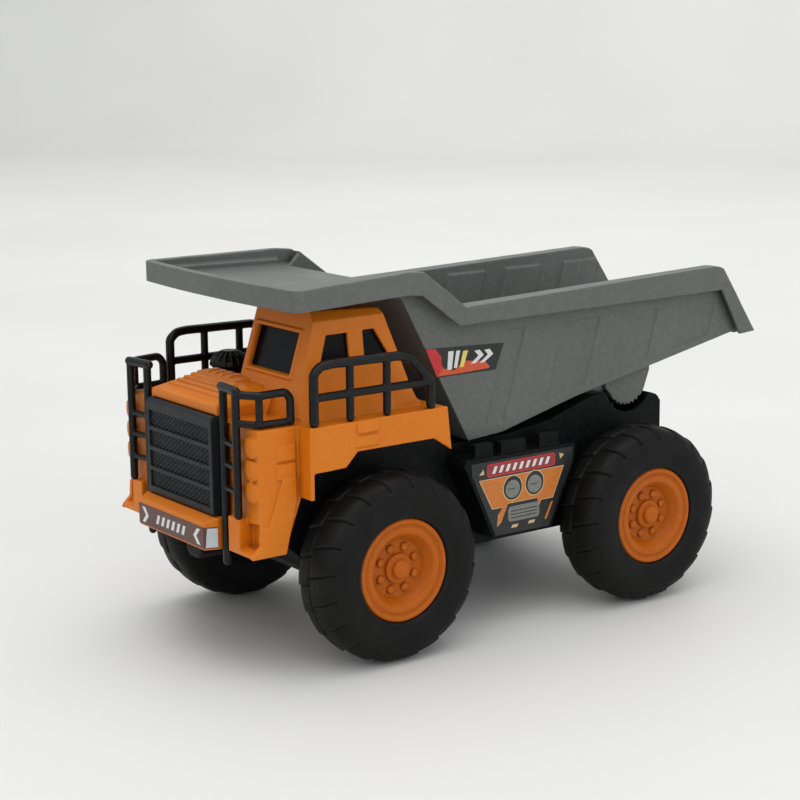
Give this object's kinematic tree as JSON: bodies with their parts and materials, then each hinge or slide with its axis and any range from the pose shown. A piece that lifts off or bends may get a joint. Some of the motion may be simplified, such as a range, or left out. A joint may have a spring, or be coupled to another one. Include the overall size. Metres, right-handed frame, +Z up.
{
  "type": "toy dump truck",
  "caption": "Toy rigid mining dump truck with tilting load body, rolling wheels on steel axles, friction flywheel drive, cab, deck railings and ladder guards.",
  "frame": {"origin": "middle of the overall length and width, on the floor the four tyres stand on", "axes": "+X towards the truck's left side (the cab's side), -Y towards its front bumper, +Z up"},
  "size_m": [0.144, 0.2924, 0.1596],
  "materials": {
    "orange_plastic": "satin moulded plastic, through-coloured",
    "grey_plastic": "satin moulded plastic, through-coloured",
    "black_plastic": "satin moulded plastic",
    "slate_plastic": "satin moulded plastic",
    "window_black": "gloss black insert",
    "tyre_black": "soft black vinyl, matt",
    "steel": "bright drawn steel",
    "nylon_white": "natural nylon",
    "motor_grey": "recycled grey plastic",
    "sticker_body": "printed gloss sticker",
    "sticker_panel": "printed gloss sticker",
    "sticker_bumper": "printed gloss sticker"
  },
  "bodies": {
    "chassis": {"chassis_frame": "black_plastic", "chassis_bottom_cover": "black_plastic", "cab_shell": "orange_plastic", "cab_windows": "window_black", "radiator_grille": "slate_plastic", "bumper_band": "sticker_bumper", "front_guard_left": "black_plastic", "front_guard_right": "black_plastic", "side_rail_left": "black_plastic", "side_rail_right": "black_plastic", "air_cleaner": "black_plastic", "side_panel_left": "black_plastic", "side_panel_right": "black_plastic", "side_panel_decal_left": "sticker_panel", "side_panel_decal_right": "sticker_panel", "detent_tongues": "black_plastic", "motor_case_left": "motor_grey", "motor_case_right": "motor_grey", "chassis_screws": "steel", "motor_screws": "steel"},
    "dump_body": {"dump_body": "grey_plastic", "body_decal_left": "sticker_body", "body_decal_right": "sticker_body"},
    "front_axle": {"front_axle_shaft": "steel", "tyre_front_left": "tyre_black", "tyre_front_right": "tyre_black", "rim_front_left": "orange_plastic", "rim_front_right": "orange_plastic", "inner_hub_front_left": "black_plastic", "inner_hub_front_right": "black_plastic"},
    "rear_axle": {"rear_axle_shaft": "steel", "axle_gear": "nylon_white", "tyre_rear_left": "tyre_black", "tyre_rear_right": "tyre_black", "rim_rear_left": "orange_plastic", "rim_rear_right": "orange_plastic", "inner_hub_rear_left": "black_plastic", "inner_hub_rear_right": "black_plastic"},
    "motor_idler": {"idler_gear": "nylon_white", "idler_shaft": "steel"},
    "motor_flywheel": {"flywheel": "steel", "flywheel_pinion": "nylon_white", "flywheel_shaft": "steel"}
  },
  "joints": [
    {"name": "front_axle_spin", "type": "hinge", "parent": "chassis", "child": "front_axle", "pos_m": [0, -0.07735, 0.04], "axis": [1, 0, 0], "continuous": true},
    {"name": "rear_axle_spin", "type": "hinge", "parent": "chassis", "child": "rear_axle", "pos_m": [0, 0.06265, 0.04], "axis": [1, 0, 0], "continuous": true},
    {"name": "dump_tilt", "type": "hinge", "parent": "chassis", "child": "dump_body", "pos_m": [0, 0.07225, 0.0966], "axis": [-1, 0, 0], "range_deg": [0, 45]},
    {"name": "idler_spin", "type": "hinge", "parent": "chassis", "child": "motor_idler", "pos_m": [0, 0.0529, 0.04683], "axis": [1, 0, 0], "continuous": true},
    {"name": "flywheel_spin", "type": "hinge", "parent": "chassis", "child": "motor_flywheel", "pos_m": [0, 0.04229, 0.05295], "axis": [1, 0, 0], "continuous": true}
  ],
  "couplings": [
    {"joint": "idler_spin", "follows": "rear_axle_spin", "ratio": -2.4},
    {"joint": "flywheel_spin", "follows": "rear_axle_spin", "ratio": 6}
  ]
}
